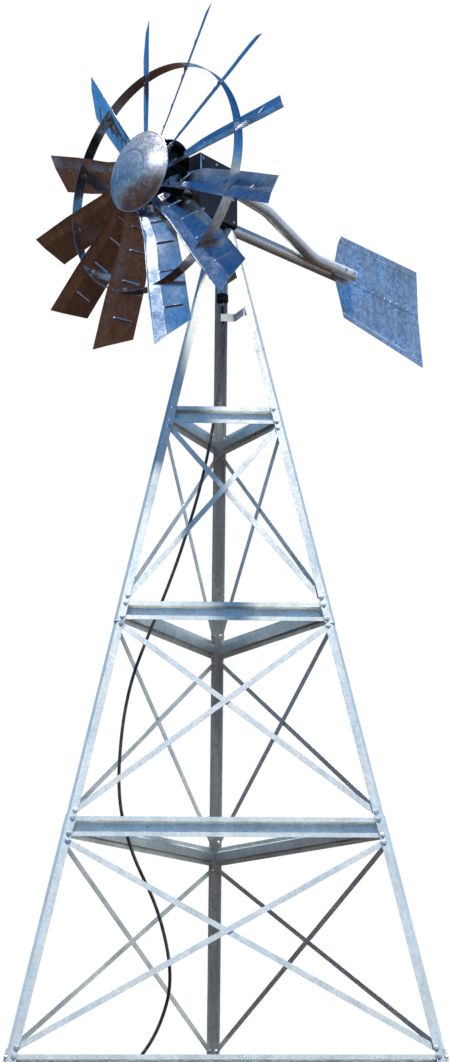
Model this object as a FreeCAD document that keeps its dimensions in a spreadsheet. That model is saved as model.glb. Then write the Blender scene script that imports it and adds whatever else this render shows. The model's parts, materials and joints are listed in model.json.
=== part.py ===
import FreeCAD, Part
import math
import os

# Garden windmill: a three-legged lattice tower with a turning head, a twelve-blade wheel,
# a two-tube tail with a vane, a crank-driven diaphragm air pump and its air hose.
# Frame: +Z up, origin on the ground at the tower's centre, face "front" towards -Y.

Vector = FreeCAD.Vector
Rotation = FreeCAD.Rotation
Placement = FreeCAD.Placement
Z_AXIS = Vector(0, 0, 1)

DIMENSIONS = {
    "section_height": 1016.0,      # from one girt level to the next
    "base_level": 60.0,            # centre height of the lowest girts
    "base_width": 1917.0,          # side of the tower's triangle at the lowest girts
    "taper": 0.430,                # loss of that side per millimetre of height
    "leg_top": 4165.0,
    "leg_nose": 31.0,              # flat outer edge of a leg
    "leg_flange": 35.0,            # each of the two flanges that lie in the faces
    "leg_sheet": 2.5,
    "leg_lap": 55.0,               # half of the overlap where two leg sections join
    "girt_height": 90.0,
    "girt_flange": 20.0,
    "girt_depth": 22.0,
    "girt_sheet": 2.0,
    "brace_width": 25.0,
    "brace_thickness": 3.0,
    "bolt_radius": 4.0,
    "foot_thickness": 8.0,
    "foot_length": 135.0,
    "foot_width": 100.0,
    "anchor_radius": 7.0,
    "anchor_circle": 1157.0,       # radius of the circle through the three anchor holes
    "mast_radius": 24.15,
    "mast_wall": 3.2,
    "mast_bottom": 3788.0,
    "mast_top": 4328.0,
    "axis_height": 4293.0,         # wheel axis above the ground
    "head_heading": 222.5,         # compass angle of the wheel axis at rest, from +X
    "blade_count": 12.0,
    "blade_sheet": 1.6,
    "disc_radius": 216.0,
    "dome_radius": 209.0,
    "dome_height": 74.0,
    "shaft_radius": 16.0,
    "crank_throw": 8.0,
    "ring_radius": 589.0,
    "ring_width": 58.0,
    "tail_tube_radius": 31.75,
    "tail_tube_wall": 2.0,
    "hose_radius": 7.5,
}

doc = FreeCAD.newDocument("garden_windmill")
sheet = doc.addObject("Spreadsheet::Sheet", "Dimensions")
for row, (alias, number) in enumerate(DIMENSIONS.items(), start=1):
    sheet.set("A%d" % row, alias)
    sheet.set("B%d" % row, str(number))
    sheet.setAlias("B%d" % row, alias)
doc.recompute()


class Sizes:
    """The sheet's numbers, read back by name."""

    def __getattr__(self, alias):
        return float(sheet.get(alias))


size = Sizes()
nodes = {}


def finished(obj, name):
    """Give an object its node name and list it for export."""
    obj.Label = name
    nodes[name] = obj
    return obj


def bind(obj, **expressions):
    """Drive properties of an object from the sheet."""
    for prop, expression in expressions.items():
        obj.setExpression(prop, expression)
    return obj


def feature(name, shape, placement=None):
    """A sub-part whose shape is worked out by Part's own functions."""
    obj = doc.addObject("Part::Feature", name)
    obj.Shape = shape
    if placement is not None:
        obj.Placement = placement
    return obj


def plane_of(body, role):
    """One of a body's own origin planes."""
    return next(item for item in body.Origin.OriginFeatures if item.Role == role)


def outline(body, points, name):
    """A sketch on a body's XY plane holding one closed outline of straight lines."""
    sketch = body.newObject("Sketcher::SketchObject", name)
    sketch.AttachmentSupport = [(plane_of(body, "XY_Plane"), "")]
    sketch.MapMode = "FlatFace"
    corners = [Vector(x, y, 0) for x, y in points]
    for start, end in zip(corners, corners[1:] + corners[:1]):
        sketch.addGeometry(Part.LineSegment(start, end), False)
    return sketch


def pad(body, sketch, length, direction=None, centred=False):
    """Pad a sketch by a length from the sheet, along its normal or along a leaning line."""
    result = body.newObject("PartDesign::Pad", sketch.Name + "_pad")
    result.Profile = sketch
    result.setExpression("Length", length)
    if direction is not None:
        result.UseCustomVector = True
        result.Direction = direction
        result.AlongSketchNormal = True
    if centred:
        result.SideType = "Symmetric"
    body.Tip = result
    return result


def sheet_section(line, thickness):
    """Close an open line of points into the section of a folded sheet, to its left side."""
    points = [Vector(x, y, 0) for x, y in line]
    normals = []
    for start, end in zip(points, points[1:]):
        along = (end - start).normalize()
        normals.append(Vector(-along.y, along.x, 0))
    inner = [points[0] + normals[0] * thickness]
    for point, before, after in zip(points[1:-1], normals, normals[1:]):
        mitre = (before + after).normalize()
        inner.append(point + mitre * (thickness / mitre.dot(before)))
    inner.append(points[-1] + normals[-1] * thickness)
    return [(p.x, p.y) for p in points + inner[::-1]]


def cylinder(radius, start, end):
    """A plain cylinder from one point to another."""
    along = end - start
    return Part.makeCylinder(radius, along.Length, start, along)


def tube(outer, inner, start, end):
    return cylinder(outer, start, end).cut(cylinder(inner, start, end))


def block(low, high):
    """A box between two corners."""
    return Part.makeBox(high[0] - low[0], high[1] - low[1], high[2] - low[2], Vector(*low))


def hexagon(across_flats, height, base, along):
    """A hexagonal prism, standing on a point and rising along a direction."""
    radius = across_flats / math.sqrt(3)
    corners = [Vector(radius * math.cos(math.radians(a)), radius * math.sin(math.radians(a)), 0)
               for a in range(0, 361, 60)]
    prism = Part.Face(Part.makePolygon(corners)).extrude(Vector(0, 0, height))
    prism.Placement = Placement(base, Rotation(Z_AXIS, along))
    return prism


def bolt(base, along, grip, radius=None):
    """A hexagon bolt: its head outside the point, its nut at the far side of the grip."""
    radius = radius or size.bolt_radius
    flats = radius * 3.25
    into = along * -1
    head = hexagon(flats, radius * 1.3, base, along)
    nut = hexagon(flats, radius * 1.5, base + into * grip, into)
    shank = cylinder(radius, base, base + into * (grip + radius * 2.4))
    return head.fuse([shank, nut])


def drilled(name, blank, holes):
    """Cut round holes, each given by a start and an end point, out of a blank."""
    drill = feature(name + "_holes", Part.makeCompound([cylinder(r, a, b) for a, b, r in holes]))
    cut = doc.addObject("Part::Cut", name + "_drilled")
    cut.Base = blank
    cut.Tool = drill
    return finished(cut, name)


# ---------------------------------------------------------------- tower geometry

LEG_ANGLES = {"left": 210.0, "right": 330.0, "rear": 90.0}
FACES = {"front": ("left", "right"), "right": ("right", "rear"), "left": ("rear", "left")}
LEVELS = 4
COS30 = math.cos(math.radians(30))
NESTED = size.leg_sheet + 0.1                 # how far in the middle leg sections sit
GIRT_SEAT = 2 * size.leg_sheet + 0.4          # depth of the girts behind the faces
BRACE_GAP = 0.4                               # between two crossing braces
HOLE_CLEARANCE = 0.3
GIRT_END = 45.0                               # girt end from the leg's virtual corner
CROWN_END = 64.0                              # where the girt's folded crown stops
GIRT_BOLT = 52.0                              # bolt from the same corner
BRACE_BOLT = 54.0
BRACE_TAIL = 12.0                             # brace beyond its bolt
BRACE_LOW = 71.0                              # lower brace end above a girt's centre
BRACE_HIGH = 68.0                             # upper brace end below the next one's


def level_height(level):
    return size.base_level + level * size.section_height


def side_at(height):
    """Side of the tower's triangle at a height."""
    return size.base_width - size.taper * (height - size.base_level)


def corner_radius(height):
    return side_at(height) / math.sqrt(3)


LEG_SLOPE = size.taper / math.sqrt(3)
FACE_SLOPE = LEG_SLOPE / 2
FACE_TILT = math.atan(FACE_SLOPE)


def direction(angle):
    return Vector(math.cos(math.radians(angle)), math.sin(math.radians(angle)), 0)


class Face:
    """One leaning side of the tower, with places on it as along, up and inward depth."""

    def __init__(self, name):
        first, second = FACES[name]
        self.first, self.second = first, second
        self.across = (direction(LEG_ANGLES[second]) - direction(LEG_ANGLES[first])).normalize()
        level_out = (direction(LEG_ANGLES[second]) + direction(LEG_ANGLES[first])).normalize()
        self.level_out = level_out
        self.out = level_out * math.cos(FACE_TILT) + Z_AXIS * math.sin(FACE_TILT)
        self.up = Z_AXIS * math.cos(FACE_TILT) - level_out * math.sin(FACE_TILT)

    def place(self, level, along, up, depth):
        height = level_height(level)
        centre = self.level_out * (corner_radius(height) / 2) + Z_AXIS * height
        return centre + self.across * along + self.up * up - self.out * depth

    def reach(self, level, up, from_corner):
        """Distance from the face's middle line to a point near its second leg."""
        height = level_height(level) + up * math.cos(FACE_TILT)
        return side_at(height) / 2 - from_corner


faces = {name: Face(name) for name in FACES}
holes = {}                                    # leg name -> hole list
tower_bolts = []


def leg_at(side, height):
    """Names of the leg sections that pass a height on one corner, outermost first."""
    found = []
    if height > level_height(2) - size.leg_lap:
        found.append("leg_upper_" + side)
    if level_height(1) - size.leg_lap < height < level_height(2) + size.leg_lap:
        found.append("leg_middle_" + side)
    if height < level_height(1) + size.leg_lap:
        found.append("leg_lower_" + side)
    return found


def face_bolt(face, side, level, along, up, grip_end):
    """Put a bolt through a face's leg flange and list its hole for each leg section there."""
    spot = face.place(level, along, up, 0)
    legs = leg_at(side, spot.z)
    start = NESTED if legs == ["leg_middle_" + side] else 0.0
    base = face.place(level, along, up, start)
    tower_bolts.append(bolt(base, face.out, grip_end - start))
    hole = (face.place(level, along, up, -5), face.place(level, along, up, 20),
            size.bolt_radius + HOLE_CLEARANCE)
    for leg in legs:
        holes.setdefault(leg, []).append(hole)
    return hole


# ---------------------------------------------------------------- girts

def girt(face_name, level):
    """A hat-section rail with its crown turned inwards, its flanges bolted to two legs."""
    face = faces[face_name]
    name = "girt_level%d_%s" % (level + 1, face_name)
    half_height = size.girt_height / 2
    web = half_height - size.girt_flange
    crown = web - 6
    depth, thick = size.girt_depth, size.girt_sheet
    hat = sheet_section([(0, -half_height), (0, -web), (-depth, -crown), (-depth, crown),
                         (0, web), (0, half_height)], thick)
    body = doc.addObject("PartDesign::Body", name + "_blank")
    sketch = outline(body, hat, name + "_hat")
    side = "(Dimensions.base_width - Dimensions.taper * Dimensions.section_height * %d)" % level
    pad(body, sketch, "%s - %g" % (side, 2 * CROWN_END), centred=True)
    for label, low, high in (("low", -half_height, -web), ("high", web, half_height)):
        strip = outline(body, [(0, low), (0, high), (-thick, high), (-thick, low)],
                        "%s_%s" % (name, label))
        pad(body, strip, "%s - %g" % (side, 2 * GIRT_END), centred=True)
    body.Placement = Placement(face.place(level, 0, 0, GIRT_SEAT),
                               Rotation(face.out, face.up, face.across, "ZXY"))
    spots = []
    for turn, side_name in ((1, face.second), (-1, face.first)):
        for up in (-half_height + 10, half_height - 10):
            along = turn * face.reach(level, up, GIRT_BOLT)
            spots.append(face_bolt(face, side_name, level, along, up, GIRT_SEAT + thick))
    drilled(name, body, spots)


for level in range(LEVELS):
    for face_name in FACES:
        girt(face_name, level)


# ---------------------------------------------------------------- braces

def brace(face, panel, rising):
    """One flat bar from a leg's lower end to the other leg's upper end; the two bars of a
    face lie one behind the other."""
    depth = GIRT_SEAT if rising else GIRT_SEAT + size.brace_thickness + BRACE_GAP
    turn = 1 if rising else -1
    low_up, high_up = BRACE_LOW, -BRACE_HIGH
    low_side = face.first if rising else face.second
    high_side = face.second if rising else face.first
    low = (panel, -turn * face.reach(panel, low_up, BRACE_BOLT), low_up)
    high = (panel + 1, turn * face.reach(panel + 1, high_up, BRACE_BOLT), high_up)
    start, end = face.place(*low, depth), face.place(*high, depth)
    along = (end - start).normalize()
    across = along.cross(face.out)
    half = across * (size.brace_width / 2)
    tail = along * BRACE_TAIL
    corners = [start - tail - half, end + tail - half, end + tail + half, start - tail + half]
    bar = Part.Face(Part.makePolygon(corners + corners[:1])).extrude(face.out * -size.brace_thickness)
    grip = depth + size.brace_thickness
    drills = [face_bolt(face, low_side, *low, grip), face_bolt(face, high_side, *high, grip)]
    return bar.cut([cylinder(r, a, b) for a, b, r in drills])


for panel in range(LEVELS - 1):
    bars = [brace(faces[name], panel, rising) for name in FACES for rising in (True, False)]
    finished(feature("braces_panel%d" % (panel + 1), Part.makeCompound(bars)),
             "braces_panel%d" % (panel + 1))


# ---------------------------------------------------------------- legs and feet

FOOT_TAB = 120.0                              # height of the foot's upright tab
FOOT_BOLT = 85.0


def leg(side, part, bottom, top, length, inset):
    """A leg section: a flat nose with two flanges that lie in the neighbouring faces."""
    name = "leg_%s_%s" % (part, side)
    nose, flange = size.leg_nose, size.leg_flange
    first = Vector(-COS30, 0.5, 0)
    second = Vector(-COS30, -0.5, 0)
    shift = Vector(-2 * inset, 0, 0)
    line = [first * (nose + flange - inset) + shift, first * (nose - inset * 0.5) + shift,
            second * (nose - inset * 0.5) + shift, second * (nose + flange - inset) + shift]
    section = sheet_section([(p.x, p.y) for p in line[::-1]], size.leg_sheet)
    body = doc.addObject("PartDesign::Body", name + "_blank")
    sketch = outline(body, section, name + "_section")
    pad(body, sketch, length, direction=Vector(-LEG_SLOPE, 0, 1))
    radial = direction(LEG_ANGLES[side])
    body.Placement = Placement(radial * corner_radius(bottom) + Z_AXIS * bottom,
                               Rotation(Z_AXIS, LEG_ANGLES[side]))
    return drilled(name, body, holes[name])


def foot(side):
    """An angle foot: a ground plate with its anchor hole and a tab bolted to the leg's nose."""
    radius = corner_radius(size.foot_thickness)
    nose_face = radius - size.leg_nose * COS30
    plate_start = size.anchor_circle + 45 - size.foot_length
    plate = block((plate_start, -size.foot_width / 2, 0),
                  (plate_start + size.foot_length, size.foot_width / 2, size.foot_thickness))
    lean = Vector(-LEG_SLOPE, 0, 1)
    half = size.leg_nose / 2
    base = Vector(nose_face, 0, size.foot_thickness)
    corners = [base + Vector(0, -half, 0), base + Vector(6, -half, 0),
               base + Vector(6, half, 0), base + Vector(0, half, 0)]
    tab = Part.Face(Part.makePolygon(corners + corners[:1])).extrude(lean * FOOT_TAB)
    anchor = cylinder(size.anchor_radius, Vector(size.anchor_circle, 0, -1),
                      Vector(size.anchor_circle, 0, size.foot_thickness + 1))
    normal = Vector(1, 0, LEG_SLOPE).normalize()
    bolt_base = base + lean * FOOT_BOLT + Vector(6, 0, 0)
    hole = cylinder(size.bolt_radius + HOLE_CLEARANCE, bolt_base + normal * 8, bolt_base - normal * 20)
    shape = plate.fuse(tab).cut([anchor, hole])
    turn = Placement(Vector(0, 0, 0), Rotation(Z_AXIS, LEG_ANGLES[side]))
    shape.Placement = turn
    peg = bolt(bolt_base, normal, 6 * math.cos(math.atan(LEG_SLOPE)) + size.leg_sheet)
    peg.Placement = turn.multiply(peg.Placement)
    tower_bolts.append(peg)
    line = (turn.multVec(bolt_base + normal * 8), turn.multVec(bolt_base - normal * 20),
            size.bolt_radius + HOLE_CLEARANCE)
    holes.setdefault("leg_lower_" + side, []).append(line)
    return shape


feet = [foot(side) for side in LEG_ANGLES]
finished(feature("foot_brackets", Part.makeCompound(feet)), "foot_brackets")
for side in LEG_ANGLES:
    lap = size.leg_lap
    leg(side, "lower", size.foot_thickness, level_height(1) + lap,
        "Dimensions.base_level + Dimensions.section_height + Dimensions.leg_lap"
        " - Dimensions.foot_thickness", 0)
    leg(side, "middle", level_height(1) - lap, level_height(2) + lap,
        "Dimensions.section_height + 2 * Dimensions.leg_lap", NESTED)
    leg(side, "upper", level_height(2) - lap, size.leg_top,
        "Dimensions.leg_top - Dimensions.base_level - 2 * Dimensions.section_height"
        " + Dimensions.leg_lap", 0)
finished(feature("tower_bolts", Part.makeCompound(tower_bolts)), "tower_bolts")


# ---------------------------------------------------------------- mast

PLATE_THICKNESS = 6.0
PLATE_HEIGHTS = (3915.0, 4126.0)              # undersides of the two plates that hold the mast
COLLAR_TOP = 3812.0
COLLAR_BOTTOM = 3778.0
COLLAR_RADIUS = 31.0


def mast_plate(height):
    """A triangular plate between the legs, bored for the mast, its corners cut off."""
    top = height + PLATE_THICKNESS
    reach = corner_radius(top) - 2 * (size.leg_sheet + 1.6)
    trim = corner_radius(top) - size.leg_nose * COS30 - size.leg_sheet - 2.5
    corners = []
    for angle in LEG_ANGLES.values():
        out = direction(angle)
        aside = Z_AXIS.cross(out)
        spread = (reach - trim) * math.tan(math.radians(30))
        corners.append((angle % 360, -1, out * trim - aside * spread))
        corners.append((angle % 360, 1, out * trim + aside * spread))
    ring = [point + Z_AXIS * height for _, _, point in sorted(corners, key=lambda c: c[:2])]
    plate = Part.Face(Part.makePolygon(ring + ring[:1])).extrude(Z_AXIS * PLATE_THICKNESS)
    bore = cylinder(size.mast_radius, Z_AXIS * (height - 1), Z_AXIS * (top + 1))
    return plate.cut(bore)


def bound_cylinder(name, radius, length, bottom):
    """An upright cylinder on the tower's axis, its sizes bound to the sheet."""
    obj = doc.addObject("Part::Cylinder", name)
    bind(obj, Radius=radius, Height=length)
    obj.Placement = Placement(Z_AXIS * bottom, Rotation())
    return obj


finished(feature("mast_plates", Part.makeCompound([mast_plate(h) for h in PLATE_HEIGHTS])), "mast_plates")
mast = doc.addObject("Part::Cut", "mast")
mast_length = "Dimensions.mast_top - Dimensions.mast_bottom"
mast.Base = bound_cylinder("mast_outside", "Dimensions.mast_radius", mast_length, size.mast_bottom)
mast.Tool = bound_cylinder("mast_inside", "Dimensions.mast_radius - Dimensions.mast_wall", mast_length,
                           size.mast_bottom)
finished(mast, "mast_pipe")
collar = cylinder(COLLAR_RADIUS, Z_AXIS * COLLAR_BOTTOM, Z_AXIS * COLLAR_TOP)
collar_bore = cylinder(size.mast_radius, Z_AXIS * size.mast_bottom, Z_AXIS * (COLLAR_TOP + 1))
finished(feature("mast_collar", collar.cut(collar_bore)), "mast_collar")


# ---------------------------------------------------------------- air hose

BRACKET_LOW, BRACKET_HIGH = 3666.0, 3706.0
HOSE_EYE = Vector(2, -1, 0)                   # where the hose passes the bracket, in plan
EYE_RADIUS = 10.0
COIL_CENTRE = Vector(-570, -278, 0)
COIL_TURN = 88.0
COIL_BUILD = 16.0                             # half of the coil's width
COIL_TOP = 31.0
HOSE_ROUTE = [
    (0, 0, 3778), (0, 0, 3718), (6, -3, 3625), (4, -11, 3500), (-8, -28, 3370), (-24, -52, 3245),
    (-45, -80, 3105), (-68, -101, 2965), (-95, -122, 2825), (-130, -140, 2675), (-172, -160, 2525),
    (-218, -175, 2370), (-275, -188, 2205), (-330, -200, 2060), (-382, -208, 1920), (-428, -216, 1785),
    (-460, -222, 1630), (-477, -226, 1470), (-483, -226, 1305), (-470, -223, 1165), (-438, -220, 1050),
    (-405, -218, 955), (-362, -216, 865), (-318, -215, 775), (-282, -214, 675), (-254, -213, 565),
    (-239, -212, 460), (-243, -211, 365), (-266, -210, 280), (-300, -208, 196), (-345, -206, 122),
    (-398, -202, 62), (-455, -195, 26), (-500, -188, 11), (-534, -184, 9),
]


def smooth_path(points, radius=None):
    """Straight runs joined by tangent arcs as large as the runs allow; returns the wire and
    the arcs' radii."""
    points = [Vector(*p) for p in points]
    edges = []
    radii = []
    here = points[0]
    for before, corner, after in zip(points, points[1:], points[2:]):
        into = (corner - before).normalize()
        out = (after - corner).normalize()
        half_turn = into.getAngle(out) / 2
        run = min((corner - before).Length, (after - corner).Length)
        bend = radius or 0.45 * run / math.tan(half_turn)
        trim = bend * math.tan(half_turn)
        start, end = corner - into * trim, corner + out * trim
        inward = (out - into).normalize()
        middle = corner + inward * (bend / math.cos(half_turn) - bend)
        edges.append(Part.LineSegment(here, start).toShape())
        edges.append(Part.Arc(start, middle, end).toShape())
        radii.append(bend)
        here = end
    edges.append(Part.LineSegment(here, points[-1]).toShape())
    return Part.Wire(edges), radii


def swept(path, radius):
    """A round bar along a path."""
    start = path.Edges[0]
    along = start.tangentAt(start.FirstParameter)
    ring = Part.Wire(Part.Circle(start.valueAt(start.FirstParameter), along, radius).toShape())
    return path.makePipeShell([ring], True, False)


hose_path, hose_radii = smooth_path(HOSE_ROUTE)
hose = swept(hose_path, size.hose_radius)
section_area = math.pi * size.hose_radius ** 2
volume_ratio = hose.Volume / (section_area * hose_path.Length)
print("hose: %.0f mm, volume ratio %.4f" % (hose_path.Length, volume_ratio))
print("hose arc radii:", [round(r) for r in hose_radii])
finished(feature("air_hose", hose), "air_hose")

coil = tube(COIL_TURN + COIL_BUILD, COIL_TURN - COIL_BUILD, COIL_CENTRE + Z_AXIS * 0.5,
            COIL_CENTRE + Z_AXIS * COIL_TOP)
finished(feature("air_hose_coil", coil), "air_hose_coil")

CONNECTOR_RADIUS = 10.0
CONNECTOR_LENGTH = 55.0
connector_start = COIL_CENTRE + Vector(-10, -COIL_TURN, COIL_TOP + CONNECTOR_RADIUS)
connector_end = connector_start + Vector(CONNECTOR_LENGTH, 0, 0)
connector = cylinder(CONNECTOR_RADIUS, connector_start, connector_end)
connector = connector.fuse(cylinder(CONNECTOR_RADIUS - 3, connector_end, connector_end + Vector(20, 0, 0)))
finished(feature("hose_connector", connector.removeSplitter()), "hose_connector")


def hose_bracket():
    """A strap from the right leg to the tower's middle, with an eye that guides the hose."""
    front = faces["front"].level_out * (corner_radius(BRACKET_HIGH) / 2)
    seat = front.y + size.leg_sheet + 1.6
    leg_x = side_at(BRACKET_HIGH) / 2 - size.leg_nose
    line = [(-8, -14), (64, -14), (leg_x - 42, seat), (leg_x - 8, seat)]
    strap = sheet_section(line, 3.0)
    strap = Part.Face(Part.makePolygon([Vector(x, y, BRACKET_LOW) for x, y in strap + strap[:1]]))
    strap = strap.extrude(Z_AXIS * (BRACKET_HIGH - BRACKET_LOW))
    low, high = HOSE_EYE + Z_AXIS * (BRACKET_LOW + 10), HOSE_EYE + Z_AXIS * (BRACKET_HIGH - 10)
    strap = strap.fuse(cylinder(EYE_RADIUS + 2.5, low, high))
    return strap.cut(cylinder(EYE_RADIUS, low - Z_AXIS, high + Z_AXIS))


finished(feature("hose_bracket", hose_bracket()), "hose_bracket")


# ---------------------------------------------------------------- head frame and cover
# Head pieces are drawn with X forward along the wheel axis, Y to its left and Z up,
# then turned to the resting heading.

HEADING = Placement(Vector(0, 0, 0), Rotation(Z_AXIS, size.head_heading))
AXIS = Vector(0, 0, size.axis_height)
RUNNING = 0.06                                # radial clearance of the turning fits
FLOOR = 4176.0                                # top of the head's floor plate
PLATE = 6.0
SLEEVE_RADIUS = 30.0
SLEEVE_TOP = 4330.0
BEARING_RADIUS = 26.0
BEARINGS = (182.0, 412.0)                     # rear faces of the two shaft bearings
BEARING_WIDTH = 16.0
PUMP_X = 95.0
TAIL_REAR = -35.0
TAIL_SIDE = 33.0                              # each tail tube's distance from the middle plane
STRAIGHT_TUBE_Z = 4225.0
BENT_TUBE = [(60, 4418), (-292, 4377), (-653, 4222), (-985, 4222)]
STRAIGHT_TUBE_END = -1005.0
COVER_SIDE = 70.0
COVER_FRONT = 228.0
COVER_PROFILE = [(COVER_FRONT, 4178), (COVER_FRONT, 4508), (2, 4498), (-39, 4340), (-39, 4178)]


def head_piece(name, shape):
    return finished(feature(name, shape, HEADING), name)


def bent_tube_path():
    return smooth_path([(x, TAIL_SIDE, z) for x, z in BENT_TUBE], radius=220.0)[0]


def head_frame():
    """The welded frame: mast sleeve, floor, side webs, bearing plates and tail supports."""
    floor_low = FLOOR - PLATE
    pieces = [
        block((TAIL_REAR, -55, floor_low), (430, 55, FLOOR)),
        block((TAIL_REAR, 49, FLOOR), (430, 55, 4236)),
        block((TAIL_REAR, -55, FLOOR), (430, -49, 4236)),
        block((TAIL_REAR, -66, floor_low), (TAIL_REAR + PLATE, 66, SLEEVE_TOP)),
        block((TAIL_REAR, -49, SLEEVE_TOP), (66, 67, SLEEVE_TOP + 8)),
        block((COVER_FRONT + 2, -68, FLOOR), (COVER_FRONT + 8, 68, 4500)),
        block((54, -2, SLEEVE_TOP + 8), (60, 67, 4458)),
        block((-8, -2, SLEEVE_TOP + 8), (-2, 67, 4436)),
    ]
    for rear in BEARINGS:
        middle = rear + BEARING_WIDTH / 2
        pieces.append(block((middle - 4, -49, FLOOR), (middle + 4, 49, 4345)))
    frame = cylinder(SLEEVE_RADIUS, Z_AXIS * floor_low, Z_AXIS * (SLEEVE_TOP + 2))
    frame = frame.fuse(pieces)
    mast_bore = cylinder(size.mast_radius + RUNNING, Z_AXIS * (floor_low - 1), Z_AXIS * SLEEVE_TOP)
    shaft_way = cylinder(BEARING_RADIUS, AXIS + Vector(BEARINGS[0] - 2, 0, 0), AXIS + Vector(440, 0, 0))
    return frame.cut([mast_bore, shaft_way, swept(bent_tube_path(), size.tail_tube_radius + 0.5)])


def head_cover():
    """The sheet cover over the crank and pump, open below and in front."""
    thick = 2.0
    outer = [Vector(x, -COVER_SIDE, z) for x, z in COVER_PROFILE]
    inner_profile = [(COVER_FRONT + 5, 4170), (COVER_FRONT + 5, 4508.2 - thick), (3.5, 4498 - thick),
                     (-39 + thick, 4340), (-39 + thick, 4170)]
    inner = [Vector(x, -COVER_SIDE + thick, z) for x, z in inner_profile]
    shell = Part.Face(Part.makePolygon(outer + outer[:1])).extrude(Vector(0, 2 * COVER_SIDE, 0))
    hollow = Part.Face(Part.makePolygon(inner + inner[:1])).extrude(Vector(0, 2 * (COVER_SIDE - thick), 0))
    ways = [cylinder(size.tail_tube_radius + 1, Vector(-60, -TAIL_SIDE, STRAIGHT_TUBE_Z),
                     Vector(-30, -TAIL_SIDE, STRAIGHT_TUBE_Z)),
            swept(bent_tube_path(), size.tail_tube_radius + 1)]
    return shell.cut([hollow] + ways)


def bearing(rear):
    """A sealed bearing, drawn as one ring."""
    start = AXIS + Vector(rear, 0, 0)
    return tube(BEARING_RADIUS, size.shaft_radius + RUNNING, start, start + Vector(BEARING_WIDTH, 0, 0))


head_piece("head_frame", head_frame())
head_piece("head_cover", head_cover())
head_piece("shaft_bearings", Part.makeCompound([bearing(rear) for rear in BEARINGS]))


# ---------------------------------------------------------------- pump and crank

PUMP_RADIUS = 47.0
PUMP_BORE = 40.0
DIAPHRAGM_RADIUS = 38.0
DIAPHRAGM_LOW = 4198.0
PIN_RADIUS = 5.0
CRANK_DISC = (104.0, 110.0)
PIN_HEAD = (84.0, 87.0)
ROD = (92.0, 98.0)                            # rear and front faces of the connecting rod
ROD_LENGTH = 54.0
SHAFT_FRONT = 648.0


def pump_body():
    """The diaphragm housing: a bowl with a flange and an air outlet towards the mast."""
    centre = Vector(PUMP_X, 0, 0)
    bowl = cylinder(PUMP_RADIUS, centre + Z_AXIS * FLOOR, centre + Z_AXIS * 4213)
    bore = cylinder(PUMP_BORE, centre + Z_AXIS * (FLOOR + 8), centre + Z_AXIS * 4214)
    outlet = cylinder(6, Vector(SLEEVE_RADIUS, 0, FLOOR + 7), Vector(PUMP_X - PUMP_RADIUS + 3, 0, FLOOR + 7))
    sleeve = cylinder(SLEEVE_RADIUS, Z_AXIS * (FLOOR - 2), Z_AXIS * (FLOOR + 20))
    return bowl.cut(bore).fuse(outlet).cut(sleeve)


def diaphragm():
    """The diaphragm's stiff plate with the fork that the connecting rod works in."""
    centre = Vector(PUMP_X, 0, 0)
    plate = cylinder(DIAPHRAGM_RADIUS, centre + Z_AXIS * DIAPHRAGM_LOW, centre + Z_AXIS * (DIAPHRAGM_LOW + 6))
    base = block((86, -15, DIAPHRAGM_LOW + 5), (104, 15, DIAPHRAGM_LOW + 12))
    ears = [block((x, -15, DIAPHRAGM_LOW + 11), (x + 4, 15, DIAPHRAGM_LOW + 46)) for x in (86, 100)]
    return plate.fuse([base] + ears)


def connecting_rod():
    """A flat rod with an eye at each end; its lower eye hangs between the fork's ears."""
    top = AXIS + Vector(ROD[0], size.crank_throw, 0)
    low = top - Z_AXIS * ROD_LENGTH
    thick = Vector(ROD[1] - ROD[0], 0, 0)
    bar = block((ROD[0], top.y - 5, low.z), (ROD[1], top.y + 5, top.z))
    rod = bar.fuse([cylinder(10, top, top + thick), cylinder(7, low, low + thick)])
    eyes = [cylinder(PIN_RADIUS + RUNNING, top - thick, top + thick * 2),
            cylinder(3, low - thick, low + thick * 2)]
    return rod.cut(eyes)


def main_shaft():
    """The wheel shaft with its crank disc, crank pin and pin head."""
    shaft = cylinder(size.shaft_radius, AXIS + Vector(CRANK_DISC[1], 0, 0), AXIS + Vector(SHAFT_FRONT, 0, 0))
    disc = cylinder(24, AXIS + Vector(CRANK_DISC[0], 0, 0), AXIS + Vector(CRANK_DISC[1], 0, 0))
    pin_axis = AXIS + Vector(0, size.crank_throw, 0)
    pin = cylinder(PIN_RADIUS, pin_axis + Vector(PIN_HEAD[0], 0, 0), pin_axis + Vector(CRANK_DISC[0], 0, 0))
    pin_end = cylinder(8, pin_axis + Vector(PIN_HEAD[0], 0, 0), pin_axis + Vector(PIN_HEAD[1], 0, 0))
    return shaft.fuse([disc, pin, pin_end])


head_piece("pump_body", pump_body())
head_piece("diaphragm_plate", diaphragm())
head_piece("connecting_rod", connecting_rod())
head_piece("main_shaft", main_shaft())


# ---------------------------------------------------------------- tail

VANE_SHEET = 1.2
VANE_UPPER = [(-851, 4207), (-897, 4399), (-927, 4453), (-1580, 4445), (-1581, 4164)]
VANE_LOWER = [(-851, 4227), (-1581, 4184), (-1614, 3867), (-939, 3974)]


def tail_tube(path):
    return swept(path, size.tail_tube_radius).cut(swept(path, size.tail_tube_radius - size.tail_tube_wall))


def vane(profile, side):
    corners = [Vector(x, 0, z) for x, z in profile]
    return Part.Face(Part.makePolygon(corners + corners[:1])).extrude(Vector(0, side * VANE_SHEET, 0))


straight = Part.Wire([Part.LineSegment(Vector(TAIL_REAR, -TAIL_SIDE, STRAIGHT_TUBE_Z),
                                       Vector(STRAIGHT_TUBE_END, -TAIL_SIDE, STRAIGHT_TUBE_Z)).toShape()])
head_piece("tail_tube_straight", tail_tube(straight))
head_piece("tail_tube_bent", tail_tube(bent_tube_path()))
head_piece("vane_upper_sheet", vane(VANE_UPPER, 1))
head_piece("vane_lower_sheet", vane(VANE_LOWER, -1))


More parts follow.
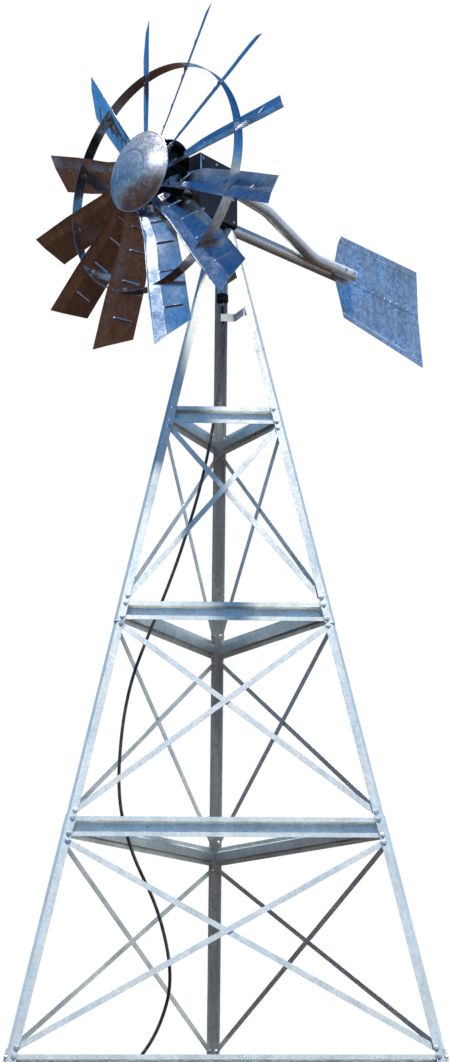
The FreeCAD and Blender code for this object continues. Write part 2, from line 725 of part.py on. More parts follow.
# ---------------------------------------------------------------- wheel
# Wheel pieces are drawn with X radial, Y along the turn and Z forward along the axis.

WHEEL = HEADING.multiply(Placement(AXIS, Rotation(Vector(0, 1, 0), Vector(0, 0, 1), Vector(1, 0, 0), "XYZ")))
FIRST_BLADE = 7.5                             # angle of the first blade above the horizontal
DISC_BACK, DISC_FRONT = 440.0, 446.0
BOSS = (434.0, 500.0)
STUD_CIRCLE = 120.0                           # the studs that carry the dome
STUD_END = 628.0
BLADE_RADII = (165.0, 330.0, 589.0, 849.0)
LEADING = (72.0, 66.0, 89.0, 100.0)           # width before the blade's line, at each radius
TRAILING = (12.0, 98.0, 104.0, 98.0)          # and behind it
TIP_SKEW = 98.6                               # how much longer the leading edge is
PITCH = math.radians(-37.5)
AXIAL_ROOT = 512.5
CONE_SLOPE = 0.097                            # the blades lean back from the disc
FLAT = 4.0                                    # height of the blade's flat part above its chord
FOLD = 0.17                                   # slope of the leading third, folded back
RING_AXIAL = 480.0
RING_SHEET = 2.0
TAB_GAP = 0.4
BRACKET_SHEET = 4.0
BRACKET = (168.0, 206.0)                      # radii that each blade's bracket spans
BRACKET_WIDTH = (-32.0, 6.0)
ROOT_BOLTS = (178.0, 196.0)
ROOT_BOLT_LINE = -13.0
RING_TAB = (560.0, 590.0)
RING_TAB_WIDTH = (-12.0, 26.0)
RING_BOLT, RING_BOLT_LINE = 574.0, 7.0
BEND = size.blade_sheet / 2                   # half the blade's sheet


def chord_point(radius, aside, above):
    """A point beside the blade's line, measured along its chord and square to it."""
    return Vector(radius, aside * math.cos(PITCH) - above * math.sin(PITCH),
                  AXIAL_ROOT - CONE_SLOPE * (radius - BLADE_RADII[0])
                  + aside * math.sin(PITCH) + above * math.cos(PITCH))


def blade_section(radius, thickness, spare):
    """The sheet's closed outline at a radius, its leading third folded back."""
    station = BLADE_RADII.index(radius)
    share = (radius - BLADE_RADII[0]) / (BLADE_RADII[-1] - BLADE_RADII[0])
    lead, trail = LEADING[station] + spare, TRAILING[station] + spare
    width = lead + trail
    along = radius + {0: -spare, len(BLADE_RADII) - 1: spare}.get(station, 0.0)
    line = [(-lead, FLAT - FOLD * width / 3), (-lead + width / 3, FLAT), (trail, FLAT)]
    sheet_line = sheet_section([(u, n - thickness / 2) for u, n in line], thickness)
    return [chord_point(along - TIP_SKEW * share * ((u + lead) / width - 0.5), u, n) for u, n in sheet_line]


def blade_solid(thickness, spare=0.0):
    """The blade's sheet, lofted from its root to its slanting tip."""
    sections = [blade_section(radius, thickness, spare) for radius in BLADE_RADII]
    return Part.makeLoft([Part.makePolygon(points + points[:1]) for points in sections], True, True)


def chord_plate(radii, sides, low, high):
    """A flat plate that lies along the blade's chord."""
    wires = []
    for radius in radii:
        corners = [chord_point(radius, aside, above) for above, aside in
                   ((low, sides[0]), (low, sides[1]), (high, sides[1]), (high, sides[0]))]
        wires.append(Part.makePolygon(corners + corners[:1]))
    return Part.makeLoft(wires, True, True)


def blade_bolt_spots():
    """Bolts of one blade as outer point, direction, grip: two at the root, one at the ring."""
    normal = Vector(CONE_SLOPE * math.cos(PITCH), -math.sin(PITCH), math.cos(PITCH)).normalize()
    root_grip = size.blade_sheet + TAB_GAP + BRACKET_SHEET
    spots = [(chord_point(radius, ROOT_BOLT_LINE, FLAT + BEND), normal, root_grip) for radius in ROOT_BOLTS]
    stack = BEND + TAB_GAP + RING_SHEET
    spots.append((chord_point(RING_BOLT, RING_BOLT_LINE, FLAT + stack), normal, 2 * stack))
    return spots


def turned(shape, index):
    copy = shape.copy()
    copy.rotate(Vector(0, 0, 0), Z_AXIS, 30.0 * index + FIRST_BLADE)
    return copy


blade_total = int(size.blade_count)
bolt_spots = blade_bolt_spots()
bolt_holes = [cylinder(size.bolt_radius + HOLE_CLEARANCE, base + along * 5, base - along * (grip + 5))
              for base, along, grip in bolt_spots]
blade = blade_solid(size.blade_sheet).cut(bolt_holes)
for index in range(blade_total):
    obj = feature("blade_%02d" % (index + 1), blade)
    obj.Placement = WHEEL.multiply(Placement(Vector(0, 0, 0), Rotation(Z_AXIS, 30.0 * index + FIRST_BLADE)))
    finished(obj, "blade_%02d" % (index + 1))

one_blade_bolts = [bolt(base, along, grip) for base, along, grip in bolt_spots]
wheel_bolts = [turned(one, i) for one in one_blade_bolts for i in range(blade_total)]
finished(feature("wheel_bolts", Part.makeCompound(wheel_bolts), WHEEL), "wheel_bolts")


def blade_bracket():
    """The folded bracket under one blade's root, standing on the disc."""
    top = FLAT - BEND - TAB_GAP
    flange = chord_plate(BRACKET, BRACKET_WIDTH, top - BRACKET_SHEET, top)
    corner = chord_point(BRACKET[1], BRACKET_WIDTH[1], top - BRACKET_SHEET)
    web = block((BRACKET[0], corner.y - BRACKET_SHEET, DISC_FRONT - 1), (BRACKET[1], corner.y, corner.z + 2))
    return flange.fuse(web)


def hub_disc():
    """The disc with its boss, the blades' brackets and the studs that carry the dome."""
    disc = cylinder(size.disc_radius, Z_AXIS * DISC_BACK, Z_AXIS * DISC_FRONT)
    boss = cylinder(40, Z_AXIS * BOSS[0], Z_AXIS * BOSS[1])
    foot = Vector(STUD_CIRCLE, 0, DISC_FRONT - 1)
    studs = [turned(cylinder(5, foot, Vector(STUD_CIRCLE, 0, STUD_END)), i) for i in range(0, blade_total, 3)]
    brackets = [turned(blade_bracket(), i) for i in range(blade_total)]
    bore = cylinder(size.shaft_radius, Z_AXIS * (BOSS[0] - 1), Z_AXIS * (BOSS[1] + 1))
    drills = [turned(h, i) for h in bolt_holes[:len(ROOT_BOLTS)] for i in range(blade_total)]
    return disc.fuse([boss] + studs + brackets).cut([bore] + drills)


def ring_segments():
    """Twelve curved bands, each from a tab behind one blade to a tab on the front of the next."""
    low, high = RING_AXIAL - size.ring_width / 2, RING_AXIAL + size.ring_width / 2
    band = tube(size.ring_radius + RING_SHEET / 2, size.ring_radius - RING_SHEET / 2,
                Z_AXIS * low, Z_AXIS * high)
    gap = blade_solid(size.blade_sheet + 2.0, spare=8.0)
    near, far = BEND + TAB_GAP, BEND + TAB_GAP + RING_SHEET
    tabs = [chord_plate(RING_TAB, RING_TAB_WIDTH, FLAT + near, FLAT + far),
            chord_plate(RING_TAB, RING_TAB_WIDTH, FLAT - far, FLAT - near)]
    tabs = [tab.cut(bolt_holes[-1]) for tab in tabs]
    cut = band.cut([turned(gap, index) for index in range(blade_total)])
    return Part.makeCompound(cut.fuse([turned(t, index) for t in tabs for index in range(blade_total)]).Solids)


finished(feature("hub_disc", hub_disc(), WHEEL), "hub_disc")
finished(feature("wheel_ring", ring_segments(), WHEEL), "wheel_ring")


# ---------------------------------------------------------------- nose dome

DOME_RIM = 581.0
DOME_SHEET = 2.0


def dome():
    """A pressed dome, turned from its wall's section: two arcs closed by rim and axis."""
    body = doc.addObject("PartDesign::Body", "nose_dome_body")
    sketch = body.newObject("Sketcher::SketchObject", "dome_section")
    sketch.AttachmentSupport = [(plane_of(body, "XZ_Plane"), "")]
    sketch.MapMode = "FlatFace"
    rise, rim = size.dome_height, size.dome_radius
    radius = (rim ** 2 + rise ** 2) / (2 * rise)
    centre = Vector(0, DOME_RIM + rise - radius, 0)
    spans = []
    for wall in (radius, radius - DOME_SHEET):
        low = math.asin((DOME_RIM - centre.y) / wall)
        circle = Part.Circle(centre, Z_AXIS, wall)
        spans.append((centre + Vector(wall * math.cos(low), wall * math.sin(low), 0),
                      centre + Vector(0, wall, 0)))
        sketch.addGeometry(Part.ArcOfCircle(circle, low, math.pi / 2), False)
    for outer, inner in zip(*spans):
        sketch.addGeometry(Part.LineSegment(outer, inner), False)
    turn = body.newObject("PartDesign::Revolution", "dome_turn")
    turn.Profile = sketch
    turn.ReferenceAxis = (sketch, ["V_Axis"])
    turn.Angle = 360
    body.Tip = turn
    body.Placement = WHEEL
    return body


finished(dome(), "nose_dome")


# ---------------------------------------------------------------- export

doc.recompute()
for obj in doc.Objects:
    if "Invalid" in obj.State or "Error" in obj.State:
        raise RuntimeError("%s failed: %s" % (obj.Label, obj.State))
os.makedirs("parts", exist_ok=True)
for name, obj in nodes.items():
    if obj.Shape.isNull() or not obj.Shape.isValid():
        raise RuntimeError("%s has no valid shape" % name)
    obj.Shape.exportStep(os.path.join("parts", name + ".step"))
print("%d sub-parts written" % len(nodes))
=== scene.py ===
import json
import math

import bmesh
import bpy
import numpy as np
from mathutils import Matrix, Vector, noise


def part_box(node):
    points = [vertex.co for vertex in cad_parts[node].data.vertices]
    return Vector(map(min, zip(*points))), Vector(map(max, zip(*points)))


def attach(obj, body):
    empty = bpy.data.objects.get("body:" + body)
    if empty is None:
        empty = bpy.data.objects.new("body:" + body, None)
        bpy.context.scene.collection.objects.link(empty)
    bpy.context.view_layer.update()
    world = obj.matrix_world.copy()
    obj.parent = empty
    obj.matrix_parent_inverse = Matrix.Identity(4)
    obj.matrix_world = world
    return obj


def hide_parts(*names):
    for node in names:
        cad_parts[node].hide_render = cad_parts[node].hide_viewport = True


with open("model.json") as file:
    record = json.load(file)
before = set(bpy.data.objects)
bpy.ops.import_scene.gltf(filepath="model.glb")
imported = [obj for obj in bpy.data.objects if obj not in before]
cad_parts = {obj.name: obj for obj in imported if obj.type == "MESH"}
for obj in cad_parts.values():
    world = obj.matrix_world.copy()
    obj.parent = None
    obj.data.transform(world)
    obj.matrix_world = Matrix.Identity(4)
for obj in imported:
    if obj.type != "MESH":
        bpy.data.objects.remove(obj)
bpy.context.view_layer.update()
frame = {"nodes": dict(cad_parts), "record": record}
scene = bpy.context.scene
MM = 0.001
UP = Vector((0, 0, 1))

# ---------------------------------------------------------------- camera

CAMERA_PLACE = Vector((-0.365, -8.545, 0.064))
CAMERA_HEADING = -0.0443
CAMERA_PITCH = 0.2846
LENS = 61.8

camera = bpy.data.objects.new("camera", bpy.data.cameras.new("camera"))
scene.collection.objects.link(camera)
camera.data.sensor_width = 36.0
camera.data.lens = LENS
camera.location = CAMERA_PLACE
sight = Vector((-math.sin(CAMERA_HEADING) * math.cos(CAMERA_PITCH),
                math.cos(CAMERA_HEADING) * math.cos(CAMERA_PITCH), math.sin(CAMERA_PITCH)))
camera.rotation_mode = "QUATERNION"
camera.rotation_quaternion = sight.to_track_quat("-Z", "Y")
scene.camera = camera


# ---------------------------------------------------------------- materials

class Finish:
    """One procedural material: helpers that add nodes and link them to the shader."""

    def __init__(self, name, **values):
        """Start with the shader's constant sockets set and object coordinates at hand."""
        self.material = bpy.data.materials.new(name)
        self.material.use_nodes = True
        self.tree = self.material.node_tree
        self.shader = next(n for n in self.tree.nodes if n.type == "BSDF_PRINCIPLED")
        for key, value in values.items():
            self.shader.inputs[key.replace("_", " ")].default_value = value
        self.coords = self.tree.nodes.new("ShaderNodeTexCoord").outputs["Object"]

    def node(self, kind, settings=None, **inputs):
        """Add a node; inputs are values or sockets, with _ for a space in their names."""
        made = self.tree.nodes.new(kind)
        for key, value in (settings or {}).items():
            setattr(made, key, value)
        for key, value in inputs.items():
            self.feed(made.inputs[key.replace("_", " ")], value)
        return made

    def feed(self, socket, value):
        if isinstance(value, bpy.types.NodeSocket):
            self.tree.links.new(value, socket)
        else:
            socket.default_value = value

    def stretched(self, stretch):
        """Object coordinates, scaled differently along each axis."""
        return self.node("ShaderNodeMapping", Vector=self.coords, Scale=stretch).outputs["Vector"]

    def noise(self, scale, detail=3.0, stretch=(1, 1, 1), rough=0.55):
        made = self.node("ShaderNodeTexNoise", Vector=self.stretched(stretch), Scale=scale,
                         Detail=detail, Roughness=rough)
        return made.outputs["Fac"]

    def cells(self, scale, stretch=(1, 1, 1)):
        """A random value for each crystal-like cell."""
        made = self.node("ShaderNodeTexVoronoi", Vector=self.stretched(stretch), Scale=scale)
        split = self.node("ShaderNodeSeparateColor", Color=made.outputs["Color"])
        return split.outputs["Red"], made.outputs["Distance"]

    def ramp(self, value, stops):
        """A colour for each value; a stop's colour may be one grey number."""
        made = self.node("ShaderNodeValToRGB", Fac=value)
        elements = made.color_ramp.elements
        while len(elements) < len(stops):
            elements.new(0.5)
        for element, (place, colour) in zip(elements, stops):
            colour = colour if isinstance(colour, tuple) else (colour,) * 3
            element.position, element.color = place, (*colour, 1)
        return made.outputs["Color"]

    def span(self, value, low, high, start=0.0, end=1.0):
        """Map the values from start to end onto low to high."""
        made = self.node("ShaderNodeMapRange", Value=value, To_Min=low, To_Max=high,
                         From_Min=start, From_Max=end)
        return made.outputs["Result"]

    def blend(self, first, second, factor, mode="MIX"):
        """Lay the second colour over the first one."""
        made = self.node("ShaderNodeMix", {"data_type": "RGBA", "blend_type": mode})
        for index, value in ((0, factor), (6, first), (7, second)):
            self.feed(made.inputs[index], value if not isinstance(value, tuple) else (*value, 1))
        return made.outputs[2]

    def sum(self, first, second, mode="ADD"):
        """Join two numbers, by adding them unless a mode is given."""
        made = self.node("ShaderNodeMath", {"operation": mode})
        self.feed(made.inputs[0], first)
        self.feed(made.inputs[1], second)
        return made.outputs["Value"]

    def bump(self, height, strength, distance, under=None):
        """A normal from a height, on top of another bump's normal if one is given."""
        inputs = {"Height": height, "Strength": strength, "Distance": distance}
        if under is not None:
            inputs["Normal"] = under
        return self.node("ShaderNodeBump", **inputs).outputs["Normal"]

    def finish(self, colour=None, rough=None, normal=None):
        """Link what varies over the surface to the shader."""
        for name, value in (("Base Color", colour), ("Roughness", rough), ("Normal", normal)):
            if value is not None:
                self.tree.links.new(value, self.shader.inputs[name])
        return self.material


def galvanised(name, dark, light, rough, cell, metallic=1.0, wave=0.0, stain=0.35):
    """Hot-dipped zinc: crystals of differing tone, faint bloom and stains, slightly wavy."""
    f = Finish(name, Metallic=metallic)
    middle = tuple((a + b) / 2 for a, b in zip(dark, light))
    crystal, edge = f.cells(1 / cell, (1.0, 1.0, 0.8))
    fine, _ = f.cells(3.1 / cell)
    tone = f.sum(f.sum(crystal, 0.65, "MULTIPLY"), f.sum(fine, 0.35, "MULTIPLY"))
    colour = f.ramp(tone, [(0.18, dark), (0.5, middle), (0.82, light)])
    bloom = f.noise(5.0, 5.0)
    colour = f.blend(colour, f.ramp(bloom, [(0.3, 1 - stain), (0.62, 1.0)]), 1.0, "MULTIPLY")
    runs = f.noise(16.0, 4.0, (1, 1, 0.08))
    colour = f.blend(colour, f.ramp(runs, [(0.35, 0.86), (0.6, 1.0)]), 1.0, "MULTIPLY")
    roughness = f.sum(f.span(fine, rough[0], rough[1]), f.span(bloom, 0.08, -0.08, 0.3, 0.7))
    normal = f.bump(f.noise(420.0, 2.0), 0.05, 0.0006)
    normal = f.bump(edge, 0.05, 0.0010, normal)
    if wave:
        normal = f.bump(f.noise(5.5, 1.0), wave, 0.03, normal)
    return f.finish(colour, roughness, normal)


def painted_black(name):
    """Black enamel with orange peel, dust on it and a few worn spots."""
    f = Finish(name, Metallic=0.0, Specular_IOR_Level=0.35, Coat_Weight=0.12, Coat_Roughness=0.25)
    dust = f.noise(7.0, 6.0)
    colour = f.ramp(dust, [(0.35, (0.004, 0.004, 0.005)), (0.6, (0.009, 0.007, 0.007)),
                           (0.8, (0.026, 0.019, 0.016))])
    chips = f.ramp(f.noise(60.0, 3.0), [(0.70, 0.0), (0.74, 1.0)])
    colour = f.blend(colour, (0.10, 0.085, 0.075), chips)
    rough = f.span(dust, 0.30, 0.55, 0.3, 0.75)
    return f.finish(colour, rough, f.bump(f.noise(260.0, 2.0), 0.16, 0.0008))


def plain_metal(name, colour, rough, grain=(1, 1, 1), scale=300.0):
    """Bare machined or plated metal with fine grain along one direction."""
    f = Finish(name, Metallic=1.0)
    lines = f.noise(scale, 4.0, grain)
    tone = f.ramp(lines, [(0.3, tuple(c * 0.78 for c in colour)), (0.7, colour)])
    smear = f.noise(24.0, 3.0)
    tone = f.blend(tone, f.ramp(smear, [(0.3, 0.80), (0.6, 1.0)]), 1.0, "MULTIPLY")
    return f.finish(tone, f.span(smear, rough, rough + 0.16, 0.3, 0.7), f.bump(lines, 0.15, 0.0004))


def rubber(name, colour, worn, rough):
    """Black polymer: a fine grain, with paler scuffs and dust."""
    f = Finish(name)
    scuff = f.noise(38.0, 5.0)
    tone = f.ramp(scuff, [(0.42, colour), (0.72, worn)])
    normal = f.bump(f.noise(700.0, 2.0), 0.18, 0.0004)
    return f.finish(tone, f.span(scuff, rough, rough + 0.2, 0.35, 0.75), normal)


FRAME_ZINC = galvanised("galvanised_frame", (0.70, 0.74, 0.71), (0.84, 0.88, 0.84), (0.32, 0.42),
                        0.011, metallic=0.66, stain=0.16)
# The sheet's tones are zinc grey with a blue tint that is partly a painted reflection of blue sky.
SHEET_ZINC = galvanised("galvanised_sheet", (0.54, 0.58, 0.65), (0.76, 0.80, 0.88), (0.15, 0.21),
                        0.016, metallic=1.0, wave=0.12)
# The vane's tones are zinc grey with a stronger blue tint that is partly a painted reflection of
# blue sky.
VANE_ZINC = galvanised("galvanised_vane", (0.46, 0.52, 0.62), (0.80, 0.86, 0.94), (0.26, 0.44),
                       0.020, metallic=0.9, wave=0.2)
DOME_ZINC = galvanised("galvanised_dome", (0.50, 0.50, 0.51), (0.86, 0.87, 0.88), (0.26, 0.42),
                       0.016, metallic=0.84, stain=0.4)
TUBE_ZINC = galvanised("galvanised_tube", (0.70, 0.71, 0.72), (0.86, 0.87, 0.88), (0.22, 0.32),
                       0.010, metallic=0.55, stain=0.10)
BLACK = painted_black("black_enamel")
BOLT_ZINC = plain_metal("zinc_fasteners", (0.80, 0.81, 0.82), 0.26)
STEEL = plain_metal("machined_steel", (0.58, 0.58, 0.60), 0.22, (1, 1, 6))
DIAPHRAGM = rubber("diaphragm_rubber", (0.022, 0.022, 0.024), (0.07, 0.065, 0.06), 0.55)
HOSE = rubber("hose_polymer", (0.012, 0.012, 0.014), (0.050, 0.047, 0.044), 0.30)
BRASS = plain_metal("connector_brass", (0.80, 0.58, 0.27), 0.24)

SLOT_FINISH = {
    "galvanised_frame": FRAME_ZINC, "galvanised_sheet": SHEET_ZINC, "galvanised_tube": TUBE_ZINC,
    "black_paint": BLACK, "zinc_fasteners": BOLT_ZINC, "machined_steel": STEEL,
    "diaphragm": DIAPHRAGM, "hose_plastic": HOSE, "connector_brass": BRASS,
}
for part in frame["record"]["subparts"]:
    cad = frame["nodes"][part["node"]]
    cad.data.materials.clear()
    cad.data.materials.append(SLOT_FINISH[part["material_slot"]])


# ---------------------------------------------------------------- mesh helpers

def turned_to(point, along, aside=None):
    """A matrix whose Z axis points along a direction, at a point."""
    z = Vector(along).normalized()
    x = (Vector(aside) if aside is not None else z.orthogonal())
    x = (x - z * x.dot(z)).normalized()
    made = Matrix((x, z.cross(x), z)).transposed().to_4x4()
    made.translation = point
    return made


def lathe(mesh, profile, place, steps=32, spin=0.0):
    """Turn (radius, height) pairs round the Z axis of a matrix."""
    rings = []
    for radius, height in profile:
        count = steps if radius > 1e-7 else 1
        angles = [spin + 2 * math.pi * k / steps for k in range(count)]
        rings.append([
            mesh.verts.new(place @ Vector((radius * math.cos(a), radius * math.sin(a), height)))
            for a in angles])
    for low, high in zip(rings, rings[1:]):
        if len(low) == len(high) == 1:
            continue
        for k in range(steps):
            loop = [low[k % len(low)], low[(k + 1) % steps % len(low)],
                    high[(k + 1) % steps % len(high)], high[k % len(high)]]
            mesh.faces.new(list(dict.fromkeys(loop)))


def slab(mesh, outline, low, high, place, chamfer=0.0):
    """A flat plate from an outline in the XY plane of a matrix, with chamfered rims."""
    centre = sum((Vector(p) for p in outline), Vector((0, 0))) / len(outline)

    def ring(inset, height):
        points = []
        for p in outline:
            offset = Vector(p) - centre
            scaled = centre + offset * (1 - inset / max(offset.length, 1e-6))
            points.append(mesh.verts.new(place @ Vector((scaled.x, scaled.y, height))))
        return points

    rings = [ring(chamfer, low), ring(0, low + chamfer),
             ring(0, high - chamfer), ring(chamfer, high)]
    count = len(outline)
    for a, b in zip(rings, rings[1:]):
        for k in range(count):
            mesh.faces.new((a[k], a[(k + 1) % count], b[(k + 1) % count], b[k]))
    mesh.faces.new(rings[0][::-1])
    mesh.faces.new(rings[-1])


def rounded(width, height, corner, steps=4):
    """A rectangle's outline with rounded corners, centred on the origin."""
    points = []
    for quarter, (sx, sy) in enumerate(((1, 1), (-1, 1), (-1, -1), (1, -1))):
        cx, cy = sx * (width / 2 - corner), sy * (height / 2 - corner)
        for k in range(steps + 1):
            a = math.pi / 2 * (quarter + k / steps)
            points.append((cx + corner * math.cos(a), cy + corner * math.sin(a)))
    return points


def hex_head(mesh, point, along, flats, height):
    """A washer and a chamfered hexagon head standing on a surface."""
    place = turned_to(point, along)
    wide = flats / math.sqrt(3)
    washer = flats * 0.92
    lathe(mesh, [(0, 0), (washer, 0), (washer, height * 0.22), (washer * 0.9, height * 0.3),
                 (0, height * 0.3)], place, 24)
    lathe(mesh, [(wide, height * 0.3), (wide, height * 0.9), (wide * 0.88, height * 1.2),
                 (0, height * 1.25)], place, 6)


def piece(name, mesh, body, finish, smooth=False, replaces=()):
    """Close a bmesh into an object that rides on a body and takes a slot's finish."""
    bmesh.ops.recalc_face_normals(mesh, faces=mesh.faces[:])
    data = bpy.data.meshes.new(name)
    mesh.to_mesh(data)
    mesh.free()
    data.materials.append(finish)
    if smooth:
        data.shade_smooth()
        data.set_sharp_from_angle(angle=math.radians(smooth))
    made = bpy.data.objects.new(name, data)
    scene.collection.objects.link(made)
    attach(made, body)
    if replaces:
        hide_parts(*replaces)
    return made


# ---------------------------------------------------------------- air hose

HOSE_DIAMETER = 0.015
HOSE_EXIT = (0, 0, 3.778)
HOSE_ROUTE = [
    HOSE_EXIT, (0, 0, 3.718), (0.006, -0.003, 3.625), (0.004, -0.011, 3.500),
    (-0.008, -0.028, 3.370), (-0.024, -0.052, 3.245), (-0.045, -0.080, 3.105),
    (-0.068, -0.101, 2.965), (-0.095, -0.122, 2.825), (-0.130, -0.140, 2.675),
    (-0.172, -0.160, 2.525), (-0.218, -0.175, 2.370), (-0.275, -0.188, 2.205),
    (-0.330, -0.200, 2.060), (-0.382, -0.208, 1.920), (-0.428, -0.216, 1.785),
    (-0.460, -0.222, 1.630), (-0.477, -0.226, 1.470), (-0.483, -0.226, 1.305),
    (-0.470, -0.223, 1.165), (-0.438, -0.220, 1.050), (-0.405, -0.218, 0.955),
    (-0.362, -0.216, 0.865), (-0.318, -0.215, 0.775), (-0.282, -0.214, 0.675),
    (-0.254, -0.213, 0.565), (-0.239, -0.212, 0.460), (-0.243, -0.211, 0.365),
    (-0.266, -0.210, 0.280), (-0.300, -0.208, 0.196), (-0.345, -0.206, 0.122),
    (-0.398, -0.202, 0.062), (-0.455, -0.195, 0.026), (-0.500, -0.188, 0.011),
    (-0.534, -0.184, 0.009),
]
COIL_CENTRE = (-0.570, -0.278)
COIL_STEPS = 16                     # points for each turn
CONNECTOR_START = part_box("hose_connector")[0].x
CONNECTOR_LINE = (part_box("hose_connector")[0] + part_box("hose_connector")[1]) / 2
# The wound hose as (angle from +X in turns, radius, height): two turns side by side on the
# ground, then one on top of them that ends at the connector.
WINDING = [
    (0.25, 0.0965, 0.0080), (1.02, 0.0960, 0.0080), (1.20, 0.0805, 0.0080), (1.86, 0.0800, 0.0080),
    (1.96, 0.0785, 0.0175), (2.06, 0.0850, 0.0215), (2.55, 0.0890, 0.0215), (2.72, 0.0885, 0.0330),
]


def wound(turn):
    """Radius and height of the winding at an angle, between its listed stations."""
    for (t0, r0, z0), (t1, r1, z1) in zip(WINDING, WINDING[1:]):
        if turn <= t1:
            share = (turn - t0) / (t1 - t0)
            share = share * share * (3 - 2 * share)
            return r0 + (r1 - r0) * share, z0 + (z1 - z0) * share
    return WINDING[-1][1:]


route = [Vector(p) for p in HOSE_ROUTE]
first_turn, last_turn = WINDING[0][0], WINDING[-1][0]
turn_points = round((last_turn - first_turn) * COIL_STEPS)
for step in range(1, turn_points + 1):
    turn = first_turn + (last_turn - first_turn) * step / turn_points
    radius, height = wound(turn)
    radius /= (3 + math.cos(2 * math.pi / COIL_STEPS)) / 4      # the spline runs inside its points
    angle = 2 * math.pi * turn
    route.append(Vector((COIL_CENTRE[0] + radius * math.cos(angle),
                         COIL_CENTRE[1] + radius * math.sin(angle), height)))
route.append(Vector((CONNECTOR_START - 0.008, CONNECTOR_LINE.y, CONNECTOR_LINE.z - 0.001)))
route.append(Vector((CONNECTOR_START + 0.012, CONNECTOR_LINE.y, CONNECTOR_LINE.z)))

curve = bpy.data.curves.new("air_hose_line", "CURVE")
curve.dimensions = "3D"
spline = curve.splines.new("NURBS")
spline.points.add(len(route) - 1)
for spot, target in zip(spline.points, route):
    spot.co = (*target, 1)
spline.order_u = 3
spline.use_endpoint_u = True
curve.resolution_u = 8
curve.bevel_depth = HOSE_DIAMETER / 2
curve.bevel_resolution = 5
curve.use_fill_caps = True
curve.materials.append(HOSE)
hose = bpy.data.objects.new("air_hose_line", curve)
scene.collection.objects.link(hose)
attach(hose, "tower")
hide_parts("air_hose", "air_hose_coil")


CLAMP_LOW, CLAMP_MIDDLE = 3.752, 3.7585
KNURLS, KNURL_PITCH = 9, 0.0022
BARBS, BARB_PITCH = 4, 0.0046


def hose_fittings():
    """The band clamp under the mast and the brass coupling with its barbs."""
    clamp = bmesh.new()
    place = Matrix.Translation((0, 0, CLAMP_LOW))
    lathe(clamp, [(0.0076, 0), (0.0090, 0), (0.0094, 0.0015), (0.0094, 0.0115), (0.0090, 0.013),
                  (0.0076, 0.013), (0.0076, 0)], place, 40)
    slab(clamp, rounded(0.016, 0.010, 0.002), 0.0092, 0.0165,
         turned_to((0, 0, CLAMP_MIDDLE), (0.5, -1, 0), UP), 0.001)
    hex_head(clamp, Vector((0.0145, -0.0085, CLAMP_MIDDLE)), (1, 0.5, 0), 0.007, 0.004)
    clamp = piece("hose_clamp", clamp, "tower", BOLT_ZINC, smooth=35)
    coupling = bmesh.new()
    line = turned_to((CONNECTOR_START, CONNECTOR_LINE.y, CONNECTOR_LINE.z), (1, 0, 0), UP)
    profile = [(0.0, 0.001), (0.0092, 0.001), (0.0098, 0.002)]
    for k in range(KNURLS):
        start = k * KNURL_PITCH
        profile += [(0.0098, 0.004 + start), (0.0091, 0.0048 + start), (0.0098, 0.0056 + start)]
    profile += [(0.0098, 0.030), (0.0085, 0.031), (0.0085, 0.034), (0.0098, 0.035), (0.0098, 0.052),
                (0.0088, 0.0545), (0.0052, 0.055)]
    for k in range(BARBS):
        start = k * BARB_PITCH
        profile += [(0.0052, 0.0555 + start), (0.0069, 0.0560 + start), (0.0055, 0.0600 + start)]
    profile += [(0.0052, 0.0748), (0.0038, 0.0748), (0.0038, 0.045), (0.0, 0.045)]
    lathe(coupling, profile, line, 40)
    coupling = piece("hose_coupling", coupling, "tower", BRASS, smooth=35,
                     replaces=("hose_connector",))
    return clamp, coupling


fittings = hose_fittings()


# ---------------------------------------------------------------- head and wheel frames

AXIS_HEIGHT = 4.293
HEADING = math.radians(222.5)
HEAD = Matrix.Rotation(HEADING, 4, "Z")
WHEEL = HEAD @ Matrix(((0, 0, 1, 0), (1, 0, 0, 0), (0, 1, 0, AXIS_HEIGHT), (0, 0, 0, 1)))
BLADES = 12
FIRST_BLADE = math.radians(7.5)


def blade_turn(index):
    """The frame of one blade: X along its line, Z along the wheel's axis."""
    return WHEEL @ Matrix.Rotation(FIRST_BLADE + 2 * math.pi * index / BLADES, 4, "Z")


# ---------------------------------------------------------------- blades

BLADE_RADII = (165.0, 330.0, 589.0, 849.0)
LEADING = (72.0, 66.0, 89.0, 100.0)      # width before the blade's line, at each radius
TRAILING = (12.0, 98.0, 104.0, 98.0)     # and behind it
BLADE_ROOT, BLADE_TIP = BLADE_RADII[0], BLADE_RADII[-1]
TIP_SKEW = 98.6                          # how much longer the leading edge is
PITCH = math.radians(-37.5)
AXIAL_ROOT = 512.5
CONE_SLOPE = 0.097                       # the blades lean back from the disc
FLAT = 4.0                               # height of the flat part above the chord
FOLD = 0.17                              # slope of the leading third, folded back
SHEET = 1.6
RIBS = (262.0, 377.0, 531.0, 719.0)      # true radii of the pressed ribs
RIB_HEIGHT, RIB_WIDTH = 3.4, 3.0
HEM_RISE = 1.8                           # of the rolled leading edge
DENT = 2.4                               # of the sheet between the hub and the tip
RING_CLAMP = 575.0                       # where the ring's bands hold the sheet flat
ACROSS = (-0.5, -0.485, -0.47, -0.45, -0.34, -0.24, -0.185, -0.167, -0.149, -0.125, -0.10, -0.07,
          0.0, 0.08, 0.15, 0.22, 0.28, 0.32, 0.35, 0.38, 0.42, 0.46, 0.5)


def between(values, radius):
    """A blade's measure at a radius, from its values at the listed radii."""
    for r0, r1, v0, v1 in zip(BLADE_RADII, BLADE_RADII[1:], values, values[1:]):
        if radius <= r1:
            return v0 + (v1 - v0) * (radius - r0) / (r1 - r0)
    return values[-1]


def blade_width(radius):
    """The sheet's width along its chord."""
    return between(LEADING, radius) + between(TRAILING, radius)


def skew(radius):
    """How far the sheet's rows slope at a radius, over the whole width."""
    return TIP_SKEW * (radius - BLADE_ROOT) / (BLADE_TIP - BLADE_ROOT)


